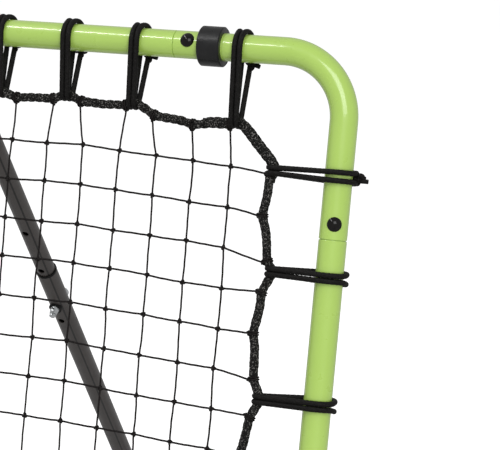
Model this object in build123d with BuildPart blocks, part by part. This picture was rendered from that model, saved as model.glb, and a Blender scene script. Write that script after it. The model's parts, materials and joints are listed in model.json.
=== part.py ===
from build123d import *
from math import cos, radians, sin
import os

# Pitch back rebounder: a square tube frame holds a knotted net on a border rope and elastic loops.
# The net frame hinges on a floor base, and one telescopic strut behind it sets how far it leans.
# Millimetres. +X across, +Y away from the thrower, +Z up.
# The origin is on the floor, under the middle of the whole object.

# Net frame tubes
tube_d = 32.0
tube_wall = 1.2
frame_span = 968.0  # between the centrelines of opposite tubes
frame_lean = 16.5  # degrees back from upright
bend_radius = 75.0
corner_leg = 206.0  # from the meeting point of two centrelines to a corner piece's end
swage_length = 45.0
swage_gap = 0.1  # between a swaged end and the piece it slides into
seam_gap = 0.8  # groove between a corner piece's end and the shoulder of the tube in it
shoulder_radius = 1.0

# Frame and base joint bolts
bolt_inset = 17.0  # from a corner piece's end to its bolt
bolt_d = 6.0
bolt_hole_d = 6.4
bolt_head_d = 16.5
bolt_head_rise = 4.0
bolt_turn = 16.0  # degrees that a frame bolt is turned outward
bolt_tail = 3.0
nut_across_flats = 10.0
nut_height = 5.0

# Rubber rings
bumper_d = 46.0
bumper_length = 27.0
bumper_inset = 162.0  # from the corner to the ring's middle
rear_foot_d = 50.0
floor_gap = 0.5  # under the lower bumpers, so that the hinge feet carry the frame

# Border rope, elastic loops and net
rope_d = 10.0
rope_sag_share = 0.105  # of the way between two loops, that the rope hangs in beyond them
rope_kink_radius = 14.0
rope_sag_radius = 40.0
loop_cord_d = 6.2
loop_strands = 2
loop_slack = 0.3  # between a loop and the tube
loop_rope_slack = 1.2  # between a loop and the rope, which bends inside it
# How far each loop holds the rope from the tube's centreline, and its share of the way from the
# first loop beside a corner to the last one beside the middle
level_first_loop = 127.0
level_middle_gap = 120.0
level_loops = ((0.0, 80.5), (0.426, 68.0), (0.71, 64.0), (1.0, 66.0))
bottom_first_loop = 138.0
bottom_loops = ((0.0, 74.0), (0.42, 68.0), (0.70, 64.0), (1.0, 66.0))
upright_first_loop = 135.0
upright_middle_gap = 182.0
upright_loops = ((0.0, 74.0), (0.44, 64.5), (1.0, 65.5))
net_thickness = 1.8
net_inset = 94.0  # from the tubes' centrelines to the net's edge
net_corner_cut = 40.0

# Floor base
hinge_inset = 99.0  # from the corner of the net frame to the middle of a hinge sleeve
sleeve_length = 36.0
sleeve_wall = 3.4
hinge_gap = 0.06
base_length = 840.0  # from the hinge to the rear tube's centreline
pad_length = 30.0
pad_width = 38.0
pad_height = 12.0

# Clevises and their bolts
clevis_plate = 4.0
clevis_web = 3.0
clevis_radius = 12.0
clevis_root_radius = 13.0
pivot_d = 8.0
pivot_hole_d = 8.2
pivot_gap = 0.08
pivot_head_flats = 13.0
pivot_head_height = 5.3
pivot_nut_height = 8.0
head_drop = 55.0  # from the top tube's centreline down the frame to the strut's pivot
head_setback = 24.0  # from the frame's plane back to the strut's pivot
foot_height = 40.0  # from the rear tube's centreline up to the strut's pivot

# Telescopic strut, measured along it from the head pivot
inner_d = 25.0
inner_wall = 1.5
inner_overrun = 12.0
inner_length = 640.0
side_gap = 0.5  # between the strut and a clevis plate
outer_d = 28.0
slide_gap = 0.3
mouth = 371.0
lock_bolt_from_mouth = 64.0
hole_pitch = 78.0
hole_count = 2
hole_d = 9.0
spare_hole_from_bolt = 30.0  # down the outer tube
shorten_travel = 60.0
lengthen_travel = 139.0
slot_gap = 0.3
collar_rise = 0.4  # of the ring round the outer tube's mouth above that tube
collar_rim = 3.5
head_cap_thickness = 3.0
foot_plug_length = 30.0
foot_shoulder = 41.0
foot_flange = 4.0
foot_tongue = 14.0
foot_radius = 13.0
foot_play = 3.0  # round the foot pivot, taken up as the strut changes its length

# Wing bolt and wing nut
lock_bolt_d = 8.0
lock_head_d = 18.0
lock_head_rise = 4.5
washer_d = 18.0
washer_rise = 2.0
wing_hub_d = 12.5
wing_hub_tip_d = 10.0
wing_hub_height = 9.0
wing_span = 36.0
wing_height = 17.0
wing_thickness = 3.0
wing_gap = 0.1
wing_turn = 19.0  # degrees that the wings stand off the strut's own line
lock_bolt_tail = 4.0

# Sizes that follow from those above
tube_r = tube_d / 2
tube_bore_r = tube_r - tube_wall
swage_r = tube_bore_r - swage_gap
half_span = frame_span / 2
seam_reach = half_span - corner_leg
bumper_r = bumper_d / 2
rope_r = rope_d / 2
loop_width = loop_cord_d * loop_strands
hinge_x = half_span - hinge_inset
hinge_z = bumper_r + floor_gap
rear_foot_r = rear_foot_d / 2
hinge_y = bumper_r - (bumper_r + base_length + rear_foot_r) / 2
base_seam_reach = hinge_x - corner_leg
sleeve_bore_r = tube_r + hinge_gap
sleeve_r = sleeve_bore_r + sleeve_wall
outer_r = outer_d / 2
inner_r = inner_d / 2
outer_bore_r = inner_r + slide_gap
lock_at = mouth + lock_bolt_from_mouth
pivot_r = pivot_d / 2
lean = radians(frame_lean)

# Frame's own plane: x across, y up along the net, z towards the thrower, from the hinge's middle
frame_plane = Plane(
    origin=(0, hinge_y, hinge_z), x_dir=(1, 0, 0), z_dir=(0, -cos(lean), sin(lean))
)
# Floor base's plane: x across, y back from the hinge, z up
base_plane = Plane(origin=(0, hinge_y, hinge_z))


def save(part, name):
    """Labels a finished piece and writes its STEP."""
    part.part.label = name
    export_step(part.part, f"parts/{name}.step")


def section(plane, middle, along, outward, distance=0.0):
    """Cross-section plane of a straight tube: x points outward and z runs along the tube."""
    across, up = middle[0] + along[0] * distance, middle[1] + along[1] * distance
    origin = plane.from_local_coords(Vector(across, up, 0))
    start = plane.from_local_coords(Vector(0, 0, 0))
    x_dir = plane.from_local_coords(Vector(*outward, 0)) - start
    z_dir = plane.from_local_coords(Vector(*along, 0)) - start
    return Plane(origin=origin, x_dir=x_dir, z_dir=z_dir)


frame_sides = {
    "top": ((0, frame_span), (1, 0), (0, 1)),
    "bottom": ((0, 0), (1, 0), (0, -1)),
    "left": ((-half_span, half_span), (0, 1), (-1, 0)),
    "right": ((half_span, half_span), (0, 1), (1, 0)),
}


def frame_section(side, distance=0.0):
    return section(frame_plane, *frame_sides[side], distance)


def base_section(side, distance=0.0):
    sides = {
        "rear": ((0, base_length), (1, 0), (0, 1)),
        "left": ((-hinge_x, 0), (0, 1), (-1, 0)),
        "right": ((hinge_x, 0), (0, 1), (1, 0)),
    }
    return section(base_plane, *sides[side], distance)


def bolt_plane(tube, turn):
    """Plane on a tube's centreline with z along a bolt, turned from the front or upper side."""
    angle = radians(turn)
    facing = tube.x_dir.cross(tube.z_dir).normalized()
    reference = facing if facing.dot(Vector(0, -1, 1)) > 0 else facing * -1
    direction = reference * cos(angle) + tube.x_dir * sin(angle)
    return Plane(origin=tube.origin, x_dir=tube.z_dir, z_dir=direction)


frame_joints = {
    (side, end): bolt_plane(frame_section(side, end * (seam_reach + bolt_inset)), bolt_turn)
    for side in frame_sides
    for end in (-1, 1)
}
arm_bolt_at = base_length - corner_leg + bolt_inset
base_joints = {
    ("left", "arm"): bolt_plane(base_section("left", arm_bolt_at), 90),
    ("right", "arm"): bolt_plane(base_section("right", arm_bolt_at), 90),
    ("left", "rear"): bolt_plane(base_section("rear", -base_seam_reach - bolt_inset), 90),
    ("right", "rear"): bolt_plane(base_section("rear", base_seam_reach + bolt_inset), 90),
}


def bolt_holes(joints):
    """Cuts a bolt hole through both walls of the piece being made, at each joint."""
    for joint in joints:
        with BuildSketch(joint) as hole:
            Circle(bolt_hole_d / 2)
        extrude(hole.sketch, amount=tube_d, both=True, mode=Mode.SUBTRACT)


def swaged_tube(name, middle, length, joints):
    """Straight tube with a narrowed end on each side, which slides into a corner piece."""
    with BuildPart() as tube:
        with BuildSketch(middle):
            Circle(tube_r)
        extrude(amount=length / 2 - seam_gap, both=True)
        fillet(tube.edges().filter_by(GeomType.CIRCLE), radius=shoulder_radius)
        with BuildSketch(middle):
            Circle(swage_r)
        extrude(amount=length / 2 + swage_length, both=True)
        with BuildSketch(middle):
            Circle(swage_r - tube_wall)
        extrude(amount=length / 2 + swage_length, both=True, mode=Mode.SUBTRACT)
        with BuildSketch(middle):
            Circle(tube_bore_r)
        extrude(amount=length / 2 - seam_gap - 2 * tube_wall, both=True, mode=Mode.SUBTRACT)
        bolt_holes(joints)
    save(tube, name)


def corner_piece(name, plane, corner, inward_x, inward_y, joints):
    """Bent tube with two straight legs, which sleeve over the tubes beside it."""
    with BuildPart() as bend:
        with BuildLine(plane) as path:
            FilletPolyline(
                (corner[0] + inward_x * corner_leg, corner[1]),
                corner,
                (corner[0], corner[1] + inward_y * corner_leg),
                radius=bend_radius,
            )
        with BuildSketch(Plane(origin=path.line @ 0, z_dir=path.line % 0)):
            Circle(tube_r)
            Circle(tube_bore_r, mode=Mode.SUBTRACT)
        sweep()
        bolt_holes(joints)
    save(bend, name)


def joint_bolts(name, joints):
    """Cup-head bolts, each domed head shaped to the tube that it seats on."""
    dome_r = ((bolt_head_d / 2) ** 2 + bolt_head_rise**2) / (2 * bolt_head_rise)
    with BuildPart() as bolts:
        for joint in joints:
            centre = joint.origin + joint.z_dir * (tube_r + bolt_head_rise - dome_r)
            with BuildPart(mode=Mode.PRIVATE) as head:
                with BuildSketch(joint.offset(tube_r / 2)):
                    Circle(bolt_head_d / 2)
                extrude(amount=tube_r)
                with Locations(Plane(origin=centre, x_dir=joint.z_dir * -1, z_dir=joint.x_dir)):
                    Sphere(dome_r, mode=Mode.INTERSECT)
                with BuildSketch(Plane(origin=joint.origin, z_dir=joint.x_dir)):
                    Circle(tube_r)
                extrude(amount=bolt_head_d, both=True, mode=Mode.SUBTRACT)
            add(head.part)
        for joint in joints:
            with BuildSketch(joint):
                Circle(bolt_d / 2)
            extrude(amount=tube_r + bolt_head_rise / 2)
            with BuildSketch(joint):
                Circle(bolt_d / 2)
            extrude(amount=-(tube_r + nut_height + bolt_tail))
    save(bolts, name)


def joint_nuts(name, joints):
    """Hexagon nuts behind the joint bolts, on seats shaped to the tube."""
    with BuildPart() as nuts:
        for joint in joints:
            with BuildSketch(joint):
                RegularPolygon(nut_across_flats / 2, 6, major_radius=False)
            extrude(amount=-(tube_r + nut_height))
        for joint in joints:
            with BuildSketch(Plane(origin=joint.origin, z_dir=joint.x_dir)):
                Circle(tube_r)
            extrude(amount=nut_across_flats, both=True, mode=Mode.SUBTRACT)
            with BuildSketch(joint):
                Circle(bolt_d / 2)
            extrude(amount=-tube_d, mode=Mode.SUBTRACT)
    save(nuts, name)


def rubber_ring(name, middle, outer_r, length):
    """Ring round a tube, cut flat where it would pass below the floor."""
    with BuildPart() as ring:
        with BuildSketch(middle):
            Circle(outer_r)
            Circle(tube_r, mode=Mode.SUBTRACT)
        extrude(amount=length / 2, both=True)
        chamfer_edges = ring.edges().filter_by(GeomType.CIRCLE).group_by(SortBy.RADIUS)[-1]
        chamfer(chamfer_edges, length=1.2)
        split(bisect_by=Plane.XY, keep=Keep.TOP)
    save(ring, name)


def clevis(name, plane, pivot, inner_half):
    """Two plates joined by a web that is welded to the tube; x and y of the plane cross the tube."""
    outer_half = inner_half + clevis_plate
    with BuildPart() as bracket:
        with BuildSketch(plane):
            Circle(clevis_root_radius)
            with Locations(pivot):
                Circle(clevis_radius)
            make_hull()
        extrude(amount=outer_half, both=True)
        with BuildSketch(plane):
            with Locations((0, 0), pivot):
                Circle(clevis_radius * 2)
            make_hull()
            Circle(tube_r + clevis_web, mode=Mode.SUBTRACT)
        extrude(amount=inner_half, both=True, mode=Mode.SUBTRACT)
        with BuildSketch(plane):
            Circle(tube_r)
            with Locations(pivot):
                Circle(pivot_hole_d / 2)
        extrude(amount=outer_half, both=True, mode=Mode.SUBTRACT)
    save(bracket, name)


def pivot_bolt(name, across, outer_half):
    """Hexagon-head bolt through a clevis, with its head on the right."""
    with BuildPart() as bolt:
        with BuildSketch(across):
            Circle(pivot_r)
        extrude(amount=outer_half + pivot_nut_height + bolt_tail, both=True)
        with BuildSketch(across.offset(outer_half)):
            Circle(pivot_head_flats)
        extrude(amount=outer_half + pivot_nut_height, mode=Mode.SUBTRACT)
        with BuildSketch(across.offset(outer_half)):
            RegularPolygon(pivot_head_flats / 2, 6, major_radius=False)
        extrude(amount=pivot_head_height)
    save(bolt, name)


def pivot_nut(name, across, outer_half):
    """Locking nut on a pivot bolt's left end."""
    with BuildPart() as nut:
        with BuildSketch(across.offset(-outer_half)):
            RegularPolygon(pivot_head_flats / 2, 6, major_radius=False)
            Circle(pivot_r, mode=Mode.SUBTRACT)
        extrude(amount=-pivot_nut_height * 0.75)
        with BuildSketch(across.offset(-outer_half)):
            Circle(pivot_head_flats * 0.46)
            Circle(pivot_r, mode=Mode.SUBTRACT)
        extrude(amount=-pivot_nut_height)
    save(nut, name)


def loop_places(first, middle_gap, loops):
    """Distance along a side from its middle, and reach in to the rope, of each loop on a side."""
    last = half_span - middle_gap / 2
    half = [(half_span - first - share * (last - first), reach) for share, reach in loops]
    return [(-place, reach) for place, reach in half] + [*reversed(half)]


side_loops = {
    "top": loop_places(level_first_loop, level_middle_gap, level_loops),
    "bottom": loop_places(bottom_first_loop, level_middle_gap, bottom_loops),
    "left": loop_places(upright_first_loop, upright_middle_gap, upright_loops),
    "right": loop_places(upright_first_loop, upright_middle_gap, upright_loops),
}


def rope_points():
    """Rope's route in the frame's plane, clockwise from the top left, with each corner's radius."""
    points, bends = [], []
    for side, clockwise in (("top", 1), ("right", -1), ("bottom", -1), ("left", 1)):
        middle, along, outward = frame_sides[side]
        stops = side_loops[side][::clockwise]
        for number, (place, reach) in enumerate(stops):
            route = [(place, reach, rope_kink_radius)]
            if number + 1 < len(stops):
                next_place, next_reach = stops[number + 1]
                sag = rope_sag_share * abs(next_place - place)
                midway = ((place + next_place) / 2, (reach + next_reach) / 2 + sag)
                route.append((*midway, rope_sag_radius))
            for distance, depth, bend in route:
                points.append(
                    (
                        middle[0] + along[0] * distance - outward[0] * depth,
                        middle[1] + along[1] * distance - outward[1] * depth,
                    )
                )
                bends.append(bend)
    return points, bends


def border_rope():
    """Closed rope that carries the net's edge, pulled outward at each elastic loop."""
    points, bends = rope_points()
    with BuildPart() as rope:
        with BuildLine(frame_plane) as path:
            FilletPolyline(*points, radius=bends, close=True)
        start = path.edges().filter_by(GeomType.LINE).sort_by(Edge.length)[-1]
        with BuildSketch(Plane(origin=start @ 0.5, z_dir=start % 0.5)):
            Circle(rope_r)
        sweep(path=path.wire())
    save(rope, "border_rope")


def net_panel():
    """Net as a thin panel with its corners cut."""
    with BuildPart() as net:
        with BuildSketch(frame_plane) as outline:
            with Locations((0, half_span)):
                Rectangle(frame_span - 2 * net_inset, frame_span - 2 * net_inset)
            chamfer(outline.vertices(), length=net_corner_cut)
        extrude(amount=net_thickness / 2, both=True)
    save(net, "net")


def elastic_loops(side):
    """Elastic loops of one side, each a closed band round the tube and the border rope."""
    tube_side_r = tube_r + loop_slack
    rope_side_r = rope_r + loop_rope_slack
    with BuildPart() as loops:
        for place, reach in side_loops[side]:
            middle = frame_section(side, place)
            with BuildSketch(middle):
                Circle(tube_side_r + loop_cord_d)
                with Locations((-reach, 0)):
                    Circle(rope_side_r + loop_cord_d)
                make_hull()
                with BuildSketch(middle, mode=Mode.SUBTRACT):
                    Circle(tube_side_r)
                    with Locations((-reach, 0)):
                        Circle(rope_side_r)
                    make_hull()
            extrude(amount=loop_width / 2, both=True)
    save(loops, f"bungees_{side}")


def base_arm(name, sign):
    """Floor tube with a hinge sleeve welded across its front end and a narrowed rear end."""
    start = base_section("right" if sign > 0 else "left")
    seam = base_length - corner_leg
    across = Plane(origin=start.origin, x_dir=(0, 1, 0), z_dir=(1, 0, 0))
    with BuildPart() as arm:
        with BuildSketch(start.offset(tube_r * 0.8)):
            Circle(tube_r)
        extrude(amount=seam - seam_gap - tube_r * 0.8)
        shoulder = arm.edges().filter_by(GeomType.CIRCLE).sort_by(Axis(start.origin, start.z_dir))[-1]
        fillet(shoulder, radius=shoulder_radius)
        with BuildSketch(start.offset(seam - seam_gap)):
            Circle(swage_r)
        extrude(amount=seam_gap + swage_length)
        with BuildSketch(across):
            Circle(sleeve_r)
        extrude(amount=sleeve_length / 2, both=True)
        with BuildSketch(start.offset(sleeve_r)):
            Circle(tube_bore_r)
        extrude(amount=seam - seam_gap - 2 * tube_wall - sleeve_r, mode=Mode.SUBTRACT)
        with BuildSketch(start.offset(sleeve_r)):
            Circle(swage_r - tube_wall)
        extrude(amount=seam + swage_length - sleeve_r, mode=Mode.SUBTRACT)
        with BuildSketch(across):
            Circle(sleeve_bore_r)
        extrude(amount=sleeve_length, both=True, mode=Mode.SUBTRACT)
        bolt_holes([base_joints["right" if sign > 0 else "left", "arm"]])
    save(arm, name)


def hinge_pad(name, sign):
    """Rubber pad between a hinge sleeve and the floor."""
    start = base_section("right" if sign > 0 else "left")
    with BuildPart() as pad:
        with BuildSketch(Plane.XY):
            with Locations((start.origin.X, start.origin.Y)):
                RectangleRounded(pad_length, pad_width, 4)
        extrude(amount=pad_height)
        with BuildSketch(Plane(origin=start.origin, x_dir=(0, 1, 0), z_dir=(1, 0, 0))):
            Circle(sleeve_r)
        extrude(amount=sleeve_length, both=True, mode=Mode.SUBTRACT)
        with BuildSketch(start):
            Circle(tube_r)
        extrude(amount=pad_width, mode=Mode.SUBTRACT)
    save(pad, name)


# Net frame: four straight tubes, four corner pieces and what is fixed to them
os.makedirs("parts", exist_ok=True)
straight_length = 2 * seam_reach
for side in frame_sides:
    side_joints = [frame_joints[side, end] for end in (-1, 1)]
    swaged_tube(f"{side}_tube", frame_section(side), straight_length, side_joints)
for level, level_end in (("top", 1), ("bottom", -1)):
    for side, side_end in (("left", -1), ("right", 1)):
        corner_piece(
            f"corner_{level}_{side}",
            frame_plane,
            (side_end * half_span, half_span + level_end * half_span),
            -side_end,
            -level_end,
            [frame_joints[level, side_end], frame_joints[side, level_end]],
        )
        rubber_ring(
            f"bumper_{level}_{side}",
            frame_section(level, side_end * (half_span - bumper_inset)),
            bumper_r,
            bumper_length,
        )
joint_bolts("frame_bolts", frame_joints.values())
joint_nuts("frame_nuts", frame_joints.values())

# Net, its border rope and the elastic loops
border_rope()
net_panel()
for side in frame_sides:
    elastic_loops(side)

# Floor base
for side, side_end in (("left", -1), ("right", 1)):
    base_arm(f"base_arm_{side}", side_end)
    corner_piece(
        f"base_corner_{side}",
        base_plane,
        (side_end * hinge_x, base_length),
        -side_end,
        -1,
        [base_joints[side, "arm"], base_joints[side, "rear"]],
    )
    hinge_pad(f"hinge_foot_{side}", side_end)
    rubber_ring(
        f"rear_foot_{side}",
        base_section("rear", side_end * (hinge_x - bumper_inset)),
        rear_foot_r,
        bumper_length,
    )
rear_joints = [base_joints[side, "rear"] for side in ("left", "right")]
swaged_tube("base_rear_tube", base_section("rear"), 2 * base_seam_reach, rear_joints)
joint_bolts("base_bolts", base_joints.values())
joint_nuts("base_nuts", base_joints.values())

# Pivots that the strut joins. Both planes cross their tube, with x outward or back.
head_section = frame_section("top")
head_pivot = (-head_drop, -head_setback)
head_at = head_section.from_local_coords(Vector(*head_pivot, 0))
foot_section = Plane(
    origin=base_section("rear").origin, x_dir=(0, 1, 0), z_dir=(1, 0, 0)
)
foot_pivot = (0, foot_height)
foot_at = foot_section.from_local_coords(Vector(*foot_pivot, 0))
head_half = inner_r + side_gap
foot_half = foot_tongue / 2 + side_gap
head_across = Plane(origin=head_at, x_dir=(0, 1, 0), z_dir=(1, 0, 0))
foot_across = Plane(origin=foot_at, x_dir=(0, 1, 0), z_dir=(1, 0, 0))
clevis("head_clevis", head_section, head_pivot, head_half)
pivot_bolt("head_pivot_bolt", head_across, head_half + clevis_plate)
pivot_nut("head_pivot_nut", head_across, head_half + clevis_plate)
clevis("foot_clevis", foot_section, foot_pivot, foot_half)
pivot_bolt("foot_pivot_bolt", foot_across, foot_half + clevis_plate)
pivot_nut("foot_pivot_nut", foot_across, foot_half + clevis_plate)

# Strut's axis, and the direction of its lock bolt, which points down and forward
strut_dir = (foot_at - head_at).normalized()
strut_length = (foot_at - head_at).length
lock_dir = strut_dir.cross(Vector(1, 0, 0)).normalized()
if lock_dir.Y > 0:
    lock_dir = lock_dir * -1


def strut_plane(distance):
    """Cross-section of the strut at a distance from its head pivot."""
    return Plane(origin=head_at + strut_dir * distance, x_dir=(1, 0, 0), z_dir=strut_dir)


def strut_side_plane(distance):
    """Plane on the strut's axis with x along the strut and z along the lock bolt."""
    return Plane(origin=head_at + strut_dir * distance, x_dir=strut_dir, z_dir=lock_dir)


# Strut's inner tube: pivot bore, adjusting holes and the slot that the lock bolt runs in
with BuildPart() as inner_tube:
    with BuildSketch(strut_plane(-inner_overrun)):
        Circle(inner_r)
        Circle(inner_r - inner_wall, mode=Mode.SUBTRACT)
    extrude(amount=inner_length + inner_overrun)
    with BuildSketch(head_across):
        Circle(pivot_r + pivot_gap)
    extrude(amount=inner_d, both=True, mode=Mode.SUBTRACT)
    for number in range(hole_count):
        with BuildSketch(strut_side_plane(lock_at - (number + 1) * hole_pitch)):
            Circle(hole_d / 2)
        extrude(amount=inner_d, both=True, mode=Mode.SUBTRACT)
    slot_middle = lock_at + (lengthen_travel - shorten_travel) / 2
    with BuildSketch(strut_side_plane(slot_middle)):
        SlotCenterToCenter(shorten_travel + lengthen_travel, lock_bolt_d + 2 * slot_gap)
    extrude(amount=inner_d, both=True, mode=Mode.SUBTRACT)
save(inner_tube, "strut_inner_tube")

with BuildPart() as head_cap:
    with BuildSketch(strut_plane(-inner_overrun)):
        Circle(inner_r)
    extrude(amount=-head_cap_thickness)
    chamfer(head_cap.faces().sort_by(Axis(head_at, strut_dir))[0].edges(), length=1)
    with BuildSketch(strut_plane(-inner_overrun)):
        Circle(inner_r - inner_wall)
    extrude(amount=inner_overrun - pivot_d)
save(head_cap, "strut_head_cap")

# Strut's outer tube, with the ring round its mouth and its foot fitting
outer_end = strut_length - foot_shoulder
with BuildPart() as outer_tube:
    with BuildSketch(strut_plane(mouth)):
        Circle(outer_r)
        Circle(outer_bore_r, mode=Mode.SUBTRACT)
    extrude(amount=outer_end - mouth)
    with BuildSketch(strut_side_plane(lock_at)):
        Circle(pivot_hole_d / 2)
    extrude(amount=outer_d, both=True, mode=Mode.SUBTRACT)
    with BuildSketch(strut_side_plane(lock_at + spare_hole_from_bolt)):
        Circle(hole_d / 2)
    extrude(amount=outer_d, mode=Mode.SUBTRACT)
save(outer_tube, "strut_outer_tube")

with BuildPart() as collar:
    with BuildSketch(strut_plane(mouth - collar_rim)):
        Circle(outer_r + collar_rise)
        Circle(outer_bore_r, mode=Mode.SUBTRACT)
    extrude(amount=collar_rim)
    rim = collar.edges().filter_by(GeomType.CIRCLE).group_by(SortBy.RADIUS)[-1]
    chamfer(rim, length=collar_rise)
save(collar, "strut_collar")

with BuildPart() as foot:
    with BuildSketch(strut_plane(outer_end)):
        Circle(outer_bore_r)
    extrude(amount=-foot_plug_length)
    with BuildSketch(strut_plane(outer_end)):
        Circle(outer_r)
    extrude(amount=foot_flange)
    with BuildSketch(Plane(origin=foot_at, x_dir=strut_dir, z_dir=(1, 0, 0))):
        Circle(foot_radius)
        with Locations((-(foot_shoulder - foot_flange) / 2, 0)):
            Rectangle(foot_shoulder - foot_flange, 2 * foot_radius)
    extrude(amount=foot_tongue / 2, both=True)
    with BuildSketch(foot_across):
        Circle(pivot_r + foot_play)
    extrude(amount=foot_tongue, both=True, mode=Mode.SUBTRACT)
save(foot, "strut_foot")

# Lock bolt with a domed head behind the strut, and its washer and wing nut in front
lock_plane = strut_side_plane(lock_at)
nut_seat = outer_r + washer_rise
with BuildPart() as wing_bolt:
    with BuildSketch(lock_plane.offset(-outer_r / 2)):
        Circle(lock_head_d / 2)
    extrude(amount=-(outer_r / 2 + lock_head_rise))
    dome_edge = wing_bolt.faces().sort_by(Axis(head_at, lock_dir))[0].edges()
    fillet(dome_edge, radius=lock_head_rise * 0.8)
    with BuildSketch(strut_plane(lock_at)):
        Circle(outer_r)
    extrude(amount=lock_head_d, both=True, mode=Mode.SUBTRACT)
    with BuildSketch(lock_plane.offset(-outer_r - lock_head_rise / 2)):
        Circle(lock_bolt_d / 2)
    extrude(
        amount=outer_r + lock_head_rise / 2 + nut_seat + wing_gap + wing_hub_height + lock_bolt_tail
    )
save(wing_bolt, "wing_bolt")

with BuildPart() as wing_washer:
    with BuildSketch(lock_plane.offset(outer_r / 2)):
        Circle(washer_d / 2)
        Circle(pivot_hole_d / 2, mode=Mode.SUBTRACT)
    extrude(amount=outer_r / 2 + washer_rise)
    with BuildSketch(strut_plane(lock_at)):
        Circle(outer_r)
    extrude(amount=washer_d, both=True, mode=Mode.SUBTRACT)
save(wing_washer, "wing_washer")

with BuildPart() as wing_nut:
    with BuildSketch(lock_plane.offset(nut_seat + wing_gap)):
        Circle(wing_hub_d / 2)
    with BuildSketch(lock_plane.offset(nut_seat + wing_gap + wing_hub_height)):
        Circle(wing_hub_tip_d / 2)
    loft()
    # Side view of the wings: x from one wing's tip to the other's, y out from the strut
    wing_line = strut_dir * cos(radians(wing_turn)) - Vector(1, 0, 0) * sin(radians(wing_turn))
    wing_view = Plane(
        origin=lock_plane.origin + lock_dir * (nut_seat + wing_gap),
        x_dir=wing_line,
        z_dir=wing_line.cross(lock_dir),
    )
    outward = 1 if wing_view.y_dir.dot(lock_dir) > 0 else -1
    with BuildSketch(wing_view):
        with BuildLine():
            for end in (-1, 1):
                root = (end * wing_hub_tip_d * 0.3, outward * 1.0)
                tip_low = (end * wing_span * 0.42, outward * wing_height * 0.5)
                tip = (end * wing_span / 2, outward * wing_height * 0.86)
                tip_high = (end * wing_span * 0.38, outward * wing_height)
                neck = (end * wing_hub_tip_d * 0.3, outward * wing_hub_height)
                Line(root, tip_low)
                ThreePointArc(tip_low, tip, tip_high)
                Line(tip_high, neck)
                Line(neck, root)
        make_face()
    extrude(amount=wing_thickness / 2, both=True)
    with BuildSketch(lock_plane):
        Circle(lock_bolt_d / 2 + pivot_gap)
    extrude(amount=nut_seat + wing_hub_height * 3, mode=Mode.SUBTRACT)
save(wing_nut, "wing_nut")
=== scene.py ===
"""Pitch back rebounder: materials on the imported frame, and the net, rope and elastic loops in full detail."""

import json
import math
import random

import bpy
import numpy as np
from mathutils import Matrix, Vector


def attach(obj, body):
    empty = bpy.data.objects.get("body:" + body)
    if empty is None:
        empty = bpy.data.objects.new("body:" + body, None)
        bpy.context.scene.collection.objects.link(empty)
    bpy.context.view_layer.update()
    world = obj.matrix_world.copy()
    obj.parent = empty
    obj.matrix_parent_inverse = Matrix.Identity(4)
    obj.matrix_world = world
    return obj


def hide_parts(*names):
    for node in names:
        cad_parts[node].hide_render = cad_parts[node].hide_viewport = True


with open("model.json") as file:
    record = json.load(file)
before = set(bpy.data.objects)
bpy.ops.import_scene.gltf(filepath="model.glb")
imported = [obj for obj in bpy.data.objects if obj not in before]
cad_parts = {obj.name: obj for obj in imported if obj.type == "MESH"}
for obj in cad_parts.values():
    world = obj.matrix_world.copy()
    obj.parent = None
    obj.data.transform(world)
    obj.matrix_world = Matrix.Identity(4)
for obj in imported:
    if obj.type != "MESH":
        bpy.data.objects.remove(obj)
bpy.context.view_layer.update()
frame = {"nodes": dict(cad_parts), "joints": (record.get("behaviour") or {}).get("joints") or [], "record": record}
joints = {joint["name"]: joint for joint in frame["joints"]}

# ---------------------------------------------------------------- sizes, in metres
SPAN = 0.968  # between the centrelines of opposite frame tubes
HALF = SPAN / 2
LEAN = math.radians(16.5)
TUBE_R = 0.016
HINGE = np.array(joints["frame_tilt"]["pos_m"])
ACROSS = np.array([1.0, 0.0, 0.0])
UP_NET = np.array([0.0, math.sin(LEAN), math.cos(LEAN)])
FRONT = np.array([0.0, -math.cos(LEAN), math.sin(LEAN)])

ROPE_R = 0.0047
ROPE_FLATNESS = 0.85
ROPE_STEP = 0.0015  # between the rings of the rope's mesh
ROPE_BRAID_PITCH = 0.0095
ROPE_BRAID_DEPTH = 0.0008
SAG_SHARE = 0.105  # of the way between two loops, that the rope hangs in beyond them
CORNER_BULGE = 0.002  # of the rope outward, across a corner
# The rope's two ends lie side by side between these places, as inset from the corner and depth
SPLICE_ON_TOP = (0.165, 0.083)
SPLICE_ON_RIGHT = (0.150, 0.075)
LOOP_R = 0.0031
LOOP_STEP = 0.0022  # between the rings of a loop's mesh
LOOP_BRAID_PITCH = 0.0055
LOOP_BRAID_DEPTH = 0.00012
LOOP_SWAY = 0.0015  # most that a loop lies off its place, along the tube
LOOP_KNOT = 0.0068
LOOP_KNOT_REACH = TUBE_R + 0.0055  # from the tube's centreline to a loop's knot
CORD_ENDS = (0.012, 0.009)
BACK_SPREAD = 0.006  # half the distance between a loop's two strands behind the tube
# Each loop's distance from the frame's corner, and how far from the tube it holds the rope
TOP_LOOPS = ((0.127, 0.0805), (0.2535, 0.068), (0.3379, 0.064), (0.424, 0.066))
BOTTOM_LOOPS = ((0.138, 0.074), (0.2581, 0.068), (0.3382, 0.064), (0.424, 0.066))
UPRIGHT_LOOPS = ((0.135, 0.074), (0.2485, 0.0645), (0.393, 0.0655))

MESH = 0.046
TWINE_R = 0.00118
KNOT_R = 0.0028
KNOT_JITTER = 0.0010  # most that a knot lies off its place, each way
FIRST_KNOT = (0.356, 0.832)  # the knot nearest the top right corner of the net
ROW_DROP = 0.011  # how far the rows sink near the two upright tubes
COLUMN_DRIFT = 0.0006  # each row lies this much further right than the one above
# Sets which way each outer twine slants to the rope. It is the best of 30000 seeds that were tried
# against the real net's slants.
TIE_SEED = 141
TIE_PULL = 0.0024  # how far each outer twine draws the rope in
TIE_PULL_WIDTH = 0.011  # how far along the rope that pull fades out
TIE_REACH = 0.085  # longest outer twine
KNOT_TO_ROPE = 0.017  # least distance from a knot to the rope


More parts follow.
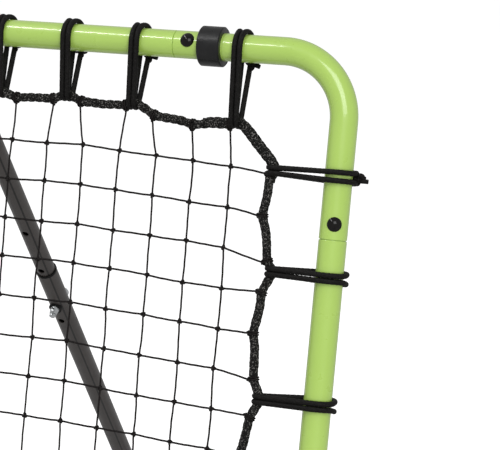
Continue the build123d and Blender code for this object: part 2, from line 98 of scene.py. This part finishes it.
def at(x, y, front=0.0):
    """World place of a point given across, up the net from the hinge, and towards the thrower."""
    return HINGE + ACROSS * x + UP_NET * y + FRONT * front


def places(xy, front=0.0):
    """World places of many points of the frame's plane."""
    xy = np.asarray(xy, float)
    lift = np.broadcast_to(front, len(xy))
    return HINGE + np.outer(xy[:, 0], ACROSS) + np.outer(xy[:, 1], UP_NET) + np.outer(lift, FRONT)


# ---------------------------------------------------------------- materials
def nodes_of(name, colour, roughness, metallic=0.0, coat=0.0):
    """New Principled material and the parts that its textures plug into."""
    material = bpy.data.materials.new(name)
    material.use_nodes = True
    tree = material.node_tree
    shader = tree.nodes["Principled BSDF"]
    shader.inputs["Base Color"].default_value = (*colour, 1)
    shader.inputs["Roughness"].default_value = roughness
    shader.inputs["Metallic"].default_value = metallic
    shader.inputs["Coat Weight"].default_value = coat
    shader.inputs["Coat Roughness"].default_value = 0.08
    place = tree.nodes.new("ShaderNodeTexCoord").outputs["Object"]
    return material, tree, shader, place


def noise(tree, place, scale, detail=3.0):
    """Noise texture at a scale per metre."""
    texture = tree.nodes.new("ShaderNodeTexNoise")
    texture.inputs["Scale"].default_value = scale
    texture.inputs["Detail"].default_value = detail
    tree.links.new(place, texture.inputs["Vector"])
    return texture.outputs["Fac"]


def ramp(tree, fac, stops):
    """Colour ramp through (position, colour) stops."""
    node = tree.nodes.new("ShaderNodeValToRGB")
    while len(node.color_ramp.elements) < len(stops):
        node.color_ramp.elements.new(0.5)
    for element, (position, colour) in zip(node.color_ramp.elements, stops):
        element.position = position
        element.color = (*colour, 1)
    tree.links.new(fac, node.inputs["Fac"])
    return node.outputs["Color"]


def spread(tree, fac, low, high):
    """Maps a 0 to 1 texture onto a range of values."""
    node = tree.nodes.new("ShaderNodeMapRange")
    node.inputs["From Min"].default_value = 0.3
    node.inputs["From Max"].default_value = 0.7
    node.inputs["To Min"].default_value = low
    node.inputs["To Max"].default_value = high
    tree.links.new(fac, node.inputs["Value"])
    return node.outputs["Result"]


def add_bump(tree, shader, height, depth, strength):
    """Bump from a height texture; depth is in metres."""
    node = tree.nodes.new("ShaderNodeBump")
    node.inputs["Distance"].default_value = depth
    node.inputs["Strength"].default_value = strength
    tree.links.new(height, node.inputs["Height"])
    tree.links.new(node.outputs["Normal"], shader.inputs["Normal"])


def powder_coat(name, colour, shade, roughness, coat):
    """Powder coat: two close tones in broad patches, orange-peel bump and uneven gloss."""
    material, tree, shader, place = nodes_of(name, colour, roughness, coat=coat)
    tone = ramp(tree, noise(tree, place, 9.0), ((0.35, colour), (0.7, shade)))
    tree.links.new(tone, shader.inputs["Base Color"])
    gloss = spread(tree, noise(tree, place, 60.0, 4.0), roughness * 0.85, roughness * 1.25)
    tree.links.new(gloss, shader.inputs["Roughness"])
    add_bump(tree, shader, noise(tree, place, 900.0, 1.0), 0.00002, 0.1)
    return material


def strut_enamel(name, colour, shade, axis, pivot, dark_reflection_side, facing):
    """Satin enamel on the strut's tube: faint draw marks along it, and a narrow dark line down its front that is a
    painted reflection.
    """
    material, tree, shader, place = nodes_of(name, colour, 0.38, coat=0.15)
    tone = ramp(tree, noise(tree, place, 14.0), ((0.35, colour), (0.7, shade)))

    def along(direction):
        start = tree.nodes.new("ShaderNodeVectorMath")
        start.operation = "SUBTRACT"
        start.inputs[1].default_value = pivot
        tree.links.new(place, start.inputs[0])
        dot = tree.nodes.new("ShaderNodeVectorMath")
        dot.operation = "DOT_PRODUCT"
        dot.inputs[1].default_value = direction
        tree.links.new(start.outputs["Vector"], dot.inputs[0])
        return dot.outputs["Value"]

    def compare(value, operation, limit):
        node = tree.nodes.new("ShaderNodeMath")
        node.operation = operation
        node.inputs[1].default_value = limit
        tree.links.new(value, node.inputs[0])
        return node.outputs["Value"]

    # Painted reflection: a narrow band down the strut's front, on the side facing the thrower, is made nearly
    # black
    across = tree.nodes.new("ShaderNodeMath")
    across.operation = "ABSOLUTE"
    tree.links.new(along(dark_reflection_side), across.inputs[0])
    dark_reflection_mask = tree.nodes.new("ShaderNodeMath")
    dark_reflection_mask.operation = "MULTIPLY"
    tree.links.new(compare(across.outputs["Value"], "LESS_THAN", 0.0011), dark_reflection_mask.inputs[0])
    tree.links.new(compare(along(facing), "GREATER_THAN", 0.0), dark_reflection_mask.inputs[1])
    mix = tree.nodes.new("ShaderNodeMix")
    mix.data_type = "RGBA"
    tree.links.new(dark_reflection_mask.outputs["Value"], mix.inputs["Factor"])
    tree.links.new(tone, mix.inputs["A"])
    # Colour of the painted dark reflection line, a tenth of the enamel's own colour
    mix.inputs["B"].default_value = (*[c * 0.1 for c in colour], 1)
    tree.links.new(mix.outputs["Result"], shader.inputs["Base Color"])
    gloss = spread(tree, noise(tree, place, 90.0, 4.0), 0.30, 0.46)
    tree.links.new(gloss, shader.inputs["Roughness"])
    add_bump(tree, shader, noise(tree, place, 500.0, 2.0), 0.00005, 0.3)
    return material


def rubber(name, colour, worn, shine):
    """Moulded rubber: nearly black, with a greyer bloom in patches and a fine grain."""
    material, tree, shader, place = nodes_of(name, colour, 0.34)
    shader.inputs["Specular IOR Level"].default_value = shine
    bloom = ramp(tree, noise(tree, place, 55.0, 5.0), ((0.45, colour), (0.75, worn)))
    tree.links.new(bloom, shader.inputs["Base Color"])
    gloss = spread(tree, noise(tree, place, 130.0, 3.0), 0.27, 0.42)
    tree.links.new(gloss, shader.inputs["Roughness"])
    add_bump(tree, shader, noise(tree, place, 900.0, 3.0), 0.0001, 0.35)
    return material


def plated(name, colour, shade):
    """Zinc plate: bright, with a fine mottle and faint tool marks."""
    material, tree, shader, place = nodes_of(name, colour, 0.25, metallic=1.0)
    tone = ramp(tree, noise(tree, place, 260.0, 4.0), ((0.35, colour), (0.75, shade)))
    tree.links.new(tone, shader.inputs["Base Color"])
    gloss = spread(tree, noise(tree, place, 420.0, 3.0), 0.18, 0.4)
    tree.links.new(gloss, shader.inputs["Roughness"])
    add_bump(tree, shader, noise(tree, place, 800.0, 2.0), 0.00008, 0.3)
    return material


def bolt_black(name, colour, shade):
    """Gloss black finish of the cup-head bolts."""
    material, tree, shader, place = nodes_of(name, colour, 0.08)
    shader.inputs["Specular IOR Level"].default_value = 0.26
    tone = ramp(tree, noise(tree, place, 300.0, 3.0), ((0.4, colour), (0.75, shade)))
    tree.links.new(tone, shader.inputs["Base Color"])
    gloss = spread(tree, noise(tree, place, 500.0, 2.0), 0.06, 0.1)
    tree.links.new(gloss, shader.inputs["Roughness"])
    return material


def braid(name, colour, fleck, fleck_from, scale, roughness):
    """Braided fibre: near-black yarns with paler flecks, and fibre fuzz as fine bump."""
    material, tree, shader, place = nodes_of(name, colour, roughness)
    stops = ((fleck_from, colour), (fleck_from + 0.06, fleck))
    tone = ramp(tree, noise(tree, place, scale, 2.0), stops)
    tree.links.new(tone, shader.inputs["Base Color"])
    gloss = spread(tree, noise(tree, place, scale * 0.5, 2.0), roughness * 0.8, min(roughness * 1.2, 1))
    tree.links.new(gloss, shader.inputs["Roughness"])
    shader.inputs["Specular IOR Level"].default_value = 0.12
    add_bump(tree, shader, noise(tree, place, scale * 2.2, 3.0), 0.0003, 0.6)
    return material


head = Vector(joints["strut_head_pivot"]["pos_m"])
strut_axis = Vector(joints["strut_slide"]["axis"]).normalized()
lock_axis = Vector(joints["wing_nut_spin"]["axis"]).normalized()
# The painted dark reflection line faces the thrower, between the strut's underside and its right side
dark_reflection_face = (Vector((0.62, 0, 0)) + lock_axis * 0.78).normalized()
dark_reflection_side = strut_axis.cross(dark_reflection_face).normalized()

green = powder_coat("green_powder_coat", (0.405, 0.60, 0.117), (0.39, 0.585, 0.108), 0.3, 0.9)
black = powder_coat("black_powder_coat", (0.022, 0.022, 0.023), (0.03, 0.03, 0.031), 0.34, 0.1)
enamel = strut_enamel(
    "grey_enamel", (0.043, 0.037, 0.035), (0.052, 0.045, 0.042), strut_axis, head, dark_reflection_side, dark_reflection_face
)
gloss_black = bolt_black("black_bolt", (0.004, 0.0035, 0.003), (0.008, 0.007, 0.006))
black_rubber = rubber("rubber", (0.006, 0.006, 0.0065), (0.011, 0.011, 0.0115), 0.38)
zinc = plated("zinc_steel", (0.66, 0.68, 0.69), (0.5, 0.52, 0.53))
plastic = rubber("black_plastic", (0.004, 0.004, 0.004), (0.006, 0.006, 0.006), 0.12)
rope_fibre = braid("border_rope", (0.006, 0.0058, 0.0055), (0.145, 0.139, 0.132), 0.57, 640.0, 0.75)
loop_fibre = braid("bungee_cord", (0.005, 0.0046, 0.0044), (0.013, 0.012, 0.0115), 0.5, 900.0, 0.6)
twine_fibre = braid("net_twine", (0.009, 0.0075, 0.0075), (0.04, 0.035, 0.033), 0.58, 1500.0, 0.7)

finishes = {
    "green_powder_coat": green,
    "black_powder_coat": black,
    "grey_enamel": enamel,
    "black_bolt": gloss_black,
    "rubber": black_rubber,
    "zinc_steel": zinc,
    "black_plastic": plastic,
    "border_rope": rope_fibre,
    "bungee_cord": loop_fibre,
    "net_twine": twine_fibre,
}
for subpart in frame["record"]["subparts"]:
    shown = frame["nodes"][subpart["node"]]
    shown.data.materials.clear()
    shown.data.materials.append(finishes[subpart["material_slot"]])


# ---------------------------------------------------------------- mesh building
class Shape:
    """Vertices and quads gathered from many tubes, made into one smooth object."""

    def __init__(self):
        self.points, self.faces, self.count = [], [], 0

    def tube(self, line, radius, sides, closed=False, flat=1.0, normal=None):
        """Tube along a polyline. radius is a number or an array of rings by sides."""
        line = np.asarray(line, float)
        rings = len(line)
        tangents = np.roll(line, -1, 0) - np.roll(line, 1, 0)
        if not closed:
            tangents[0], tangents[-1] = line[1] - line[0], line[-1] - line[-2]
        tangents /= np.linalg.norm(tangents, axis=1)[:, None]
        reference = FRONT if normal is None else np.asarray(normal, float)
        first = np.cross(tangents, reference)
        first /= np.linalg.norm(first, axis=1)[:, None] + 1e-12
        second = np.cross(tangents, first)
        angle = np.arange(sides) * 2 * math.pi / sides
        radii = np.broadcast_to(np.asarray(radius, float), (rings, sides))
        ring = (
            first[:, None, :] * (np.cos(angle) * radii)[:, :, None]
            + second[:, None, :] * (np.sin(angle) * radii)[:, :, None] * flat
        )
        self.points.append((line[:, None, :] + ring).reshape(-1, 3))
        last = rings if closed else rings - 1
        for i in range(last):
            a, b = self.count + i * sides, self.count + (i + 1) % rings * sides
            for k in range(sides):
                n = (k + 1) % sides
                self.faces.append((a + k, b + k, b + n, a + n))
        if not closed:
            self.faces.append(tuple(self.count + k for k in range(sides)))
            self.faces.append(tuple(self.count + (rings - 1) * sides + k for k in reversed(range(sides))))
        self.count += rings * sides

    def make(self, name, material, body, slot):
        """Object of everything gathered, which rides on a body."""
        mesh = bpy.data.meshes.new(name)
        mesh.from_pydata(np.concatenate(self.points).tolist(), [], self.faces)
        mesh.validate()
        mesh.shade_smooth()
        mesh.materials.append(material)
        made = bpy.data.objects.new(name, mesh)
        bpy.context.scene.collection.objects.link(made)
        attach(made, body)
        return made


def trefoil(size):
    """Centreline of a pulled-tight overhand knot, about its own middle."""
    t = np.linspace(0, 2 * math.pi, 28, endpoint=False)
    x = np.sin(t) + 1.6 * np.sin(2 * t)
    y = np.cos(t) - 1.6 * np.cos(2 * t)
    z = -1.3 * np.sin(3 * t)
    return np.stack([x, y, z], 1) * size / 3.0


def evenly(line, step, closed=False):
    """Points every step along a polyline."""
    line = np.asarray(line, float)
    if closed:
        line = np.vstack([line, line[:1]])
    run = np.concatenate([[0], np.cumsum(np.linalg.norm(np.diff(line, axis=0), axis=1))])
    count = max(3, round(run[-1] / step))
    spots = np.linspace(0, run[-1], count, endpoint=not closed)
    return np.stack([np.interp(spots, run, line[:, k]) for k in range(line.shape[1])], 1)


def softened(line, rounds):
    """Rounds the kinks of an evenly spaced closed line by averaging neighbours."""
    for _ in range(rounds):
        before, after = np.roll(line, 1, 0), np.roll(line, -1, 0)
        line = line * 0.5 + (before + after) * 0.25
    return line


# ---------------------------------------------------------------- border rope
SIDES = {
    "top": ((0, SPAN), (1, 0), (0, 1), TOP_LOOPS),
    "right": ((HALF, HALF), (0, 1), (1, 0), UPRIGHT_LOOPS),
    "bottom": ((0, 0), (1, 0), (0, -1), BOTTOM_LOOPS),
    "left": ((-HALF, HALF), (0, 1), (-1, 0), UPRIGHT_LOOPS),
}


def loop_stops(side):
    """Distance along a side from its middle, and reach to the rope, of each of its loops."""
    near = [(HALF - inset, reach) for inset, reach in SIDES[side][3]]
    return [(-place, reach) for place, reach in near] + near[::-1]


def on_side(side, place, depth):
    """Point of the frame's plane beside a tube, as far from its centreline as depth."""
    middle, along, outward, _ = SIDES[side]
    return np.array(middle) + np.array(along) * place - np.array(outward) * depth


def rope_line():
    """Rope's centreline in the frame's plane, clockwise, scalloped between the loops."""
    stops = []
    for side, clockwise in (("top", 1), ("right", -1), ("bottom", -1), ("left", 1)):
        stops += [(side, *stop) for stop in loop_stops(side)[::clockwise]]
    line = []
    for number, (side, place, reach) in enumerate(stops):
        next_side, next_place, next_reach = stops[(number + 1) % len(stops)]
        start, end = on_side(side, place, reach), on_side(next_side, next_place, next_reach)
        inward = np.array([0, HALF]) - (start + end) / 2
        inward /= np.linalg.norm(inward)
        sag = -CORNER_BULGE
        if side == next_side:
            inward = -np.array(SIDES[side][2], float)
            sag = SAG_SHARE * abs(next_place - place)
        for share in np.linspace(0, 1, 60, endpoint=False):
            line.append(start + (end - start) * share + inward * sag * math.sin(math.pi * share) ** 0.65)
    return softened(evenly(line, ROPE_STEP, closed=True), 9)


def braided(length, rings, sides, radius, pitch, depth, phase=0.0):
    """Radii of a braided cord: two families of yarns wound opposite ways."""
    along = np.linspace(0, length, rings)[:, None] * 2 * math.pi / pitch + phase
    round_it = np.arange(sides)[None, :] * 2 * math.pi / sides * 4
    weave = np.maximum(np.cos(round_it + along), np.cos(round_it - along))
    return radius + depth * weave


def wander(count, seed, size, waves):
    """Smooth repeating wobble, so that a cord isn't perfectly even."""
    rng = np.random.default_rng(seed)
    t = np.linspace(0, 2 * math.pi, count, endpoint=False)
    total = np.zeros(count)
    for wave in waves:
        total += np.sin(wave * t + rng.uniform(0, 2 * math.pi)) * rng.uniform(0.4, 1)
    return total * size / len(waves)


def in_plane_normals(line):
    """Unit normals of a line in the frame's plane, pointing right of its direction."""
    step = np.gradient(line, axis=0)
    step /= np.linalg.norm(step, axis=1)[:, None]
    return np.stack([step[:, 1], -step[:, 0]], 1)


rope = rope_line()
rope_count = len(rope)
rope += in_plane_normals(rope) * wander(rope_count, 3, 0.0012, (31, 47, 75))[:, None]


# ---------------------------------------------------------------- net
def knot_place(column, row):
    """Place of a knot in the frame's plane; column 0 and row 0 are at the top right."""
    x = FIRST_KNOT[0] - column * MESH + row * COLUMN_DRIFT
    beside = max(0.0, (abs(x) - (HALF - 0.31)) / 0.2)
    drop = ROW_DROP * min(1.0, beside)
    jitter = random.Random(column * 977 + row * 131 + 5)
    y = FIRST_KNOT[1] + ROW_DROP - row * MESH - drop
    return np.array([value + jitter.uniform(-KNOT_JITTER, KNOT_JITTER) for value in (x, y)])


def inside_rope(point, margin):
    """Whether a point is inside the rope's line and at least margin from it."""
    gap = np.linalg.norm(rope - point, axis=1)
    nearest = int(np.argmin(gap))
    centre = np.array([0, HALF])
    normal = in_plane_normals(rope[[nearest - 1, nearest, (nearest + 1) % rope_count]])[1]
    if normal @ (centre - rope[nearest]) < 0:
        normal = -normal
    return gap[nearest] > margin and normal @ (point - rope[nearest]) > 0


def rope_hit(start, direction):
    """Index of the rope point that a twine meets when it leaves a knot in a direction."""
    direction = direction / np.linalg.norm(direction)
    away = rope - start
    ahead = away @ direction
    aside = np.abs(away[:, 0] * direction[1] - away[:, 1] * direction[0])
    score = np.where(ahead > 0, aside * 20 + ahead, 9.0)
    return int(np.argmin(score))


def twine(shape, start, end, seed):
    """One side of a mesh: a slightly bowed and twisted twine between two points of the plane."""
    rng = random.Random(seed)
    share = np.linspace(0, 1, 9)
    line = start[None, :] + (end - start)[None, :] * share[:, None]
    aside = np.array([-(end - start)[1], (end - start)[0]])
    aside /= np.linalg.norm(aside)
    line = line + np.outer(np.sin(math.pi * share) * rng.uniform(-0.0007, 0.0007), aside)
    lift = np.sin(math.pi * share) * rng.uniform(-0.001, 0.001)
    radii = TWINE_R * (1 + 0.12 * np.sin(np.arange(9)[:, None] * 2.1 + np.arange(6)[None, :] * 1.05))
    shape.tube(places(line, lift), radii, 6)


def knot(shape, point, size, seed):
    """Pulled-tight knot turned at random in the frame's plane."""
    rng = random.Random(seed)
    turn = rng.uniform(0, 2 * math.pi)
    lean = rng.uniform(-0.5, 0.5)
    spin = np.array(Matrix.Rotation(turn, 3, "Z") @ Matrix.Rotation(lean, 3, "X"))
    curl = trefoil(size) @ spin.T
    spots = at(*point) + (
        np.outer(curl[:, 0], ACROSS) + np.outer(curl[:, 1], UP_NET) + np.outer(curl[:, 2], FRONT) * 0.75
    )
    shape.tube(spots, size * 0.48, 6, closed=True, normal=(0.31, 0.4, 0.86))


def whipping(shape, index, seed):
    """Twine wound round the rope where a mesh is tied on, with its knot on the net's side."""
    normal = in_plane_normals(rope[[index - 1, index, (index + 1) % rope_count]])[1]
    along = rope[(index + 1) % rope_count] - rope[index - 1]
    along /= np.linalg.norm(along)
    turns, width = 2.0, 0.005
    t = np.linspace(0, 1, 34)
    wind = t * 2 * math.pi * turns
    shift = (t - 0.5) * width
    reach = ROPE_R + 0.0011
    line = rope[index] + np.outer(shift, along) + np.outer(np.cos(wind) * reach, normal)
    winding = places(line, np.sin(wind) * reach * ROPE_FLATNESS * 1.05)
    shape.tube(winding, TWINE_R * 0.9, 6, normal=(0.2, 0.5, 0.8))
    inward = normal if normal @ (np.array([0, HALF]) - rope[index]) > 0 else -normal
    tie = rope[index] + inward * (ROPE_R + 0.0012)
    knot(shape, tie, KNOT_R * 0.85, seed)
    return tie


def net_lattice():
    """Places of the net's knots, by column and row."""
    lattice = {}
    for column in range(-2, 19):
        for row in range(-2, 21):
            point = knot_place(column, row)
            if inside_rope(point, KNOT_TO_ROPE):
                lattice[column, row] = point
    return lattice


def net_ties(lattice):
    """Outer twines: the knot that each leaves, and the index of the rope point that it is tied at."""
    ties = []
    for (column, row), point in sorted(lattice.items()):
        slant = random.Random((TIE_SEED * 64 + column) * 64 + row)
        lean, slope = slant.uniform(-0.2, 0.08), slant.uniform(-0.09, 0.2)
        for step_column, step_row in ((-1, 0), (1, 0), (0, -1), (0, 1)):
            if (column + step_column, row + step_row) in lattice:
                continue
            direction = np.array([-step_column, -slope])
            if step_row:
                direction = np.array([lean * math.copysign(1, point[0]), -step_row])
            hit = rope_hit(point, direction)
            if np.linalg.norm(rope[hit] - point) < TIE_REACH:
                ties.append((point, hit))
    return ties


def pulled(line, ties):
    """Rope's line, drawn a little towards the net wherever a twine is tied to it."""
    normals = in_plane_normals(line)
    inward = normals * np.sign(np.sum(normals * (np.array([0, HALF]) - line), axis=1))[:, None]
    pull = np.zeros(len(line))
    for _, hit in ties:
        away = np.linalg.norm(line - line[hit], axis=1)
        pull = np.maximum(pull, TIE_PULL * np.exp(-((away / TIE_PULL_WIDTH) ** 2)))
    return softened(line + inward * pull[:, None], 2)


def build_net(lattice, ties):
    """Knots and twines of the net, and the outer twines tied to the rope."""
    net_shape, knots_shape = Shape(), Shape()
    for (column, row), point in sorted(lattice.items()):
        seed = column * 53 + row * 1009
        knot(knots_shape, point, KNOT_R, seed)
        for neighbour in ((column + 1, row), (column, row + 1)):
            if neighbour in lattice:
                twine(net_shape, point, lattice[neighbour], seed + neighbour[1])
    for number, (point, hit) in enumerate(ties):
        twine(net_shape, point, whipping(knots_shape, hit, number), number)
    net = net_shape.make("net_twines", twine_fibre, "net_frame", "net_twine")
    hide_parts("net")
    knots_shape.make("net_knots", twine_fibre, "net_frame", "net_twine")


def nearest_on_rope(side, inset, depth):
    """Index of the rope point nearest to a place beside the top right corner."""
    return int(np.argmin(np.linalg.norm(rope - on_side(side, HALF - inset, depth), axis=1)))


def build_rope():
    """Braided rope, with its two ends lying side by side round the top right corner."""
    shape = Shape()
    radii = braided(rope_count * ROPE_STEP, rope_count, 20, ROPE_R, ROPE_BRAID_PITCH, ROPE_BRAID_DEPTH)
    radii = radii + wander(rope_count, 4, 0.0005, (60, 131, 210))[:, None]
    shape.tube(places(rope), radii, 20, closed=True, flat=ROPE_FLATNESS)
    start, end = nearest_on_rope("top", *SPLICE_ON_TOP), nearest_on_rope("right", *SPLICE_ON_RIGHT)
    splice = rope[start:end]
    taper = np.minimum(1, np.minimum(np.arange(len(splice)), np.arange(len(splice))[::-1]) / 8)
    beside = splice - in_plane_normals(splice) * (0.0024 + 0.0008 * taper)[:, None]
    length = len(splice) * ROPE_STEP
    radii = braided(length, len(splice), 20, ROPE_R * 0.85, ROPE_BRAID_PITCH, ROPE_BRAID_DEPTH, phase=1.3)
    shape.tube(places(beside, 0.0008), radii, 20, flat=ROPE_FLATNESS)
    border = shape.make("border_rope_braid", rope_fibre, "net_frame", "border_rope")
    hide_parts("border_rope")


lattice = net_lattice()
ties = net_ties(lattice)
rope = pulled(rope, ties)
build_net(lattice, ties)
build_rope()


# ---------------------------------------------------------------- elastic loops
def belt(reach, tube_side, rope_side):
    """Closed line round the tube and the rope in a cross-section: outward, and to the front."""
    tilt = math.acos((tube_side - rope_side) / reach)
    big = np.linspace(-(math.pi - tilt), math.pi - tilt, 40)
    small = np.linspace(math.pi - tilt, math.pi + tilt, 20)
    line = [(tube_side * math.cos(a), tube_side * math.sin(a)) for a in big]
    line += [(-reach + rope_side * math.cos(a), rope_side * math.sin(a)) for a in small]
    return evenly(line, LOOP_STEP, closed=True)


def strands(shape, side, place, reach, sway, front_spread):
    """A loop's two strands of shock cord, round the tube and under the rope.

    front_spread is half the distance between the strands in front of the tube.
    """
    middle, along, outward = (np.array(value) for value in SIDES[side][:3])
    line = belt(reach, TUBE_R + LOOP_R + 0.0002, ROPE_R + LOOP_R + 0.0006)
    nearness = np.clip((line[:, 0] + reach) / reach, 0, 1)
    in_front = 0.5 + 0.5 * np.tanh(line[:, 1] / 0.008)
    wide = BACK_SPREAD + (front_spread - BACK_SPREAD) * in_front
    for strand in (-1, 1):
        aside = strand * (LOOP_R * 1.02 + (wide - LOOP_R * 1.02) * nearness) + sway * nearness
        xy = middle + np.outer(place + aside, along) + np.outer(line[:, 0], outward)
        radii = braided(len(line) * LOOP_STEP, len(line), 12, LOOP_R, LOOP_BRAID_PITCH, LOOP_BRAID_DEPTH)
        shape.tube(places(xy, line[:, 1]), radii, 12, closed=True, normal=at(*along) - at(0, 0))


def loop_knot(shape, side, place, turn_degrees, rng):
    """A loop's knot and the two cut ends of its cord, at a place along the side's tube.

    turn_degrees is how far the knot lies round the tube, from the thrower's side outward.
    """
    middle, along, outward = (np.array(value) for value in SIDES[side][:3])
    turn = math.radians(turn_degrees)
    out, front = math.sin(turn) * LOOP_KNOT_REACH, math.cos(turn) * LOOP_KNOT_REACH
    centre = middle + along * place + outward * out
    curl = trefoil(LOOP_KNOT)
    spots = at(centre[0], centre[1], front) + (
        np.outer(curl[:, 0], ACROSS) + np.outer(curl[:, 1], UP_NET) + np.outer(curl[:, 2], FRONT)
    )
    shape.tube(spots, LOOP_R * 0.9, 10, closed=True, normal=(0.31, 0.4, 0.86))
    away = outward
    if turn_degrees > 150:
        away = along * rng.choice((-1, 1)) - outward * rng.uniform(0, 0.3)
    for length in CORD_ENDS:
        t = np.linspace(0, 1, 8)
        stub = centre + along * rng.uniform(-0.003, 0.003) + np.outer(t * length, away)
        shape.tube(places(stub, front - t * rng.uniform(0, 0.003)), LOOP_R * 0.85, 10)


def build_loops():
    """The 28 elastic loops, one object for each side of the frame."""
    for side in SIDES:
        shape = Shape()
        stops = loop_stops(side)
        rng = random.Random(len(side) * 31)
        for number, (place, reach) in enumerate(stops):
            turn, shift, spread = rng.uniform(212, 226), rng.uniform(0.006, 0.009), LOOP_R * 1.03
            if side in ("left", "right"):
                turn, shift = rng.uniform(165, 192), 0.0
                # The uppermost loop of each upright has its knot on the outer side
                if number == len(stops) - 1:
                    turn, spread = 112, 0.0047
            own = random.Random(number * 17 + len(side))
            sway = own.uniform(-LOOP_SWAY, LOOP_SWAY)
            strands(shape, side, place, reach, sway, spread)
            loop_knot(shape, side, place + sway + shift, turn, own)
        loops = shape.make(f"elastic_loops_{side}", loop_fibre, "net_frame", "bungee_cord")
        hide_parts(f"bungees_{side}")


build_loops()


# ---------------------------------------------------------------- stage, lights and camera
def glowing(name, colour, light):
    """Plain studio white that also glows, so that it stays white wherever the lights fall off."""
    material, tree, shader, place = nodes_of(name, colour, 0.9)
    tone = ramp(tree, noise(tree, place, 2.0), ((0.3, colour), (0.7, [c * 0.98 for c in colour])))
    tree.links.new(tone, shader.inputs["Base Color"])
    shader.inputs["Specular IOR Level"].default_value = 0.0
    shader.inputs["Emission Color"].default_value = (1, 1, 1, 1)
    shader.inputs["Emission Strength"].default_value = light
    return material


def studio():
    """Pale floor inside a white dome. Neither lights the object: only the lamps and the sky do."""
    size, level = 27.0, -0.0002
    mesh = bpy.data.meshes.new("floor")
    corners = [(-size, -size, level), (size, -size, level), (size, size, level), (-size, size, level)]
    mesh.from_pydata(corners, [], [(0, 1, 2, 3)])
    floor = bpy.data.objects.new("floor", mesh)
    bpy.context.scene.collection.objects.link(floor)
    bpy.ops.mesh.primitive_uv_sphere_add(segments=64, ring_count=32, radius=26.0)
    dome = bpy.context.active_object
    dome.name = "dome"
    dome.visible_shadow = False
    for shown, light in ((floor, 0.55), (dome, 0.6)):
        shown.data.materials.clear()
        shown.data.materials.append(glowing(f"{shown.name}_white", (0.88, 0.88, 0.88), light))
        shown.visible_diffuse = shown.visible_glossy = False


def area_light(name, place, target, width, height, power):
    """Soft box that faces a target."""
    light = bpy.data.lights.new(name, "AREA")
    light.shape, light.size, light.size_y, light.energy = "RECTANGLE", width, height, power
    made = bpy.data.objects.new(name, light)
    made.location = place
    made.rotation_euler = (Vector(target) - Vector(place)).to_track_quat("-Z", "Y").to_euler()
    bpy.context.scene.collection.objects.link(made)
    return made


def build_stage():
    """White studio with an even sky, a narrow overhead light, a soft key and a low fill."""
    studio()
    world = bpy.data.worlds.new("sky")
    world.use_nodes = True
    world.node_tree.nodes["Background"].inputs["Color"].default_value = (1, 1, 1, 1)
    world.node_tree.nodes["Background"].inputs["Strength"].default_value = 0.48
    bpy.context.scene.world = world
    area_light("strip", (-1.7, -0.95, 4.0), (0, -0.15, 0.95), 4.2, 0.2, 50)
    area_light("key", (1.9, -3.4, 3.6), (0, 0, 0.55), 2.5, 2.5, 80)
    fill = area_light("fill", (2.4, -2.6, 0.4), (0.4, 0, 0.5), 1.6, 1.6, 38)
    fill.visible_glossy = False
    bpy.context.scene.view_settings.view_transform = "Standard"
    bpy.context.scene.view_settings.look = "None"


def build_camera():
    """Camera to the thrower's right and above the frame, looking down at its upper right part."""
    # The eye's distance across, up the net and towards the thrower, from the frame's top right corner
    eye = at(HALF + 0.5523, SPAN - 0.1743, 1.9732)

    def direction(across, up, front):
        return Vector(ACROSS * across + UP_NET * up + FRONT * front).normalized()

    right = direction(0.9453, 0.0931, -0.3129)
    upward = direction(-0.0920, 0.9956, 0.0180)
    back = right.cross(upward).normalized()
    upward = back.cross(right)
    camera = bpy.data.objects.new("camera", bpy.data.cameras.new("camera"))
    camera.data.sensor_width, camera.data.lens = 36.0, 132.2
    camera.data.clip_start, camera.data.clip_end = 0.05, 60
    turn = Matrix((right, upward, back)).transposed().to_4x4()
    camera.matrix_world = Matrix.Translation(Vector(eye)) @ turn
    bpy.context.scene.collection.objects.link(camera)
    bpy.context.scene.camera = camera


build_stage()
build_camera()
